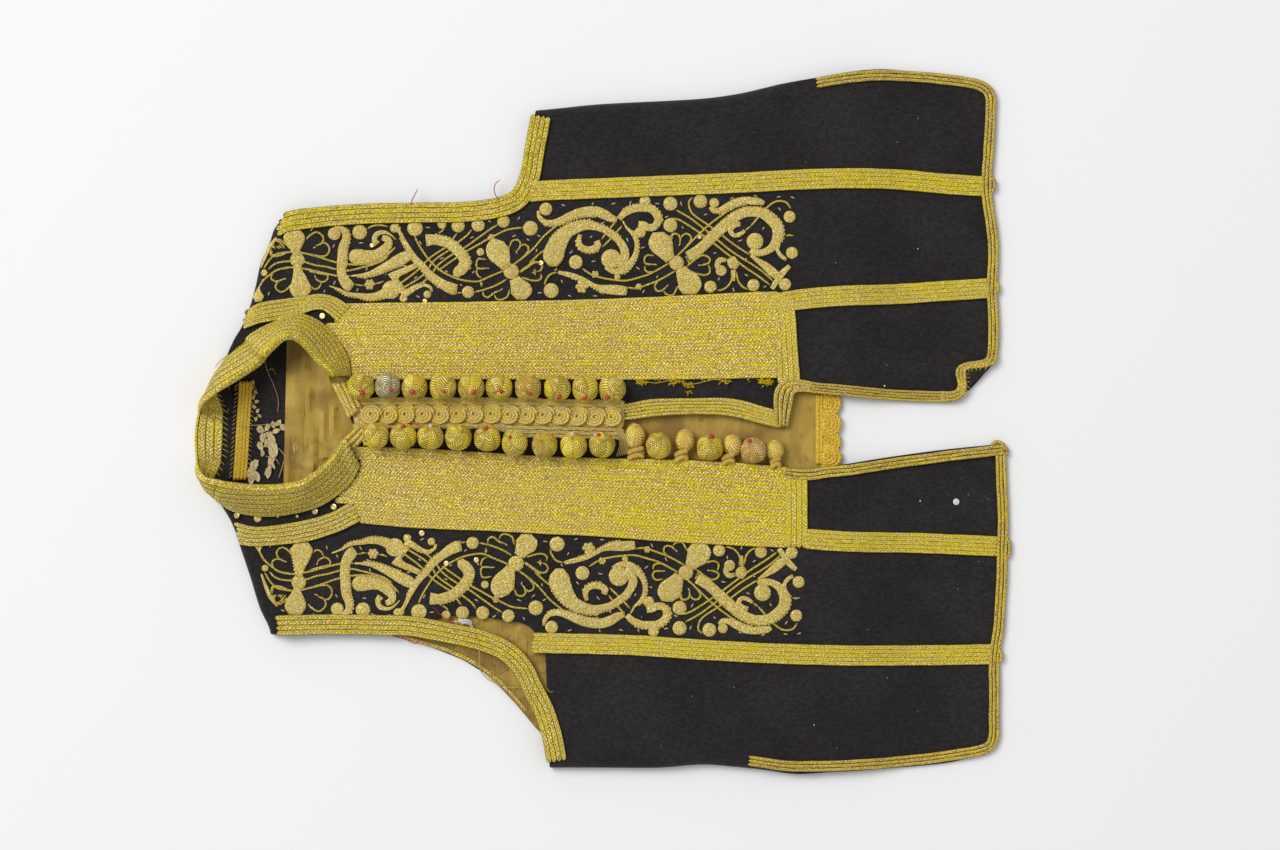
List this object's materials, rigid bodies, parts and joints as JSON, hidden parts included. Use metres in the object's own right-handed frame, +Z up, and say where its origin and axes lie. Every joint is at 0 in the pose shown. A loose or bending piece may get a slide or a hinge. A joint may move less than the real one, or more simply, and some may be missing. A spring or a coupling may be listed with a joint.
{
  "type": "waistcoat",
  "caption": "Sleeveless folk waistcoat with a stand-up collar, couched cord braid and ball buttons, lying flat on its back with both fronts spread.",
  "frame": {"origin": "on the surface it lies on, under the middle of the spread garment", "axes": "+X from the neck to the hem, +Y to the wearer's left front, +Z up out of the front of the garment"},
  "size_m": [0.528, 0.4586, 0.0337],
  "materials": {
    "black_wool": "fulled wool, matt",
    "gold_braid": "metal thread cord, softly shining",
    "gold_button": "metal thread wound over a core",
    "tan_lining": "plain cotton, matt",
    "amber_trim": "silk and metal thread"
  },
  "bodies": {
    "root": {"armhole_braid_left": "gold_braid", "armhole_braid_right": "gold_braid", "back": "black_wool", "back_armhole_braid_right": "gold_braid", "back_hem_scallops": "amber_trim", "back_lining": "tan_lining", "back_neck_tape": "gold_braid", "breast_braid_left": "gold_braid", "breast_braid_right": "gold_braid", "button_left_01": "gold_button", "button_left_02": "gold_button", "button_left_03": "gold_button", "button_left_04": "gold_button", "button_left_05": "gold_button", "button_left_06": "gold_button", "button_left_07": "gold_button", "button_left_08": "gold_button", "button_left_09": "gold_button", "button_left_10": "gold_button", "button_right_01": "gold_button", "button_right_02": "gold_button", "button_right_03": "gold_button", "button_right_04": "gold_button", "button_right_05": "gold_button", "button_right_06": "gold_button", "button_right_07": "gold_button", "button_right_08": "gold_button", "button_right_09": "gold_button", "button_right_10": "gold_button", "button_right_11": "gold_button", "button_right_12": "gold_button", "collar": "gold_braid", "embroidery_left": "gold_braid", "embroidery_right": "gold_braid", "end_braid_left": "gold_braid", "end_braid_right": "gold_braid", "front_edge_braid_left": "gold_braid", "front_edge_braid_right": "gold_braid", "front_left": "black_wool", "front_right": "black_wool", "hem_braid_left": "gold_braid", "hem_braid_right": "gold_braid", "inner_braid_left": "gold_braid", "inner_braid_right": "gold_braid", "knot_right_01": "gold_braid", "knot_right_02": "gold_braid", "knot_right_03": "gold_braid", "knot_right_04": "gold_braid", "neck_braid_left": "gold_braid", "neck_braid_right": "gold_braid", "neck_cords": "gold_braid", "placket_coils": "gold_braid", "side_braid_left": "gold_braid", "side_braid_right": "gold_braid", "side_left": "black_wool", "side_right": "black_wool", "torn_lining_right": "tan_lining", "turned_corner_left": "black_wool", "wavy_braid_left": "gold_braid"}
  },
  "joints": []
}
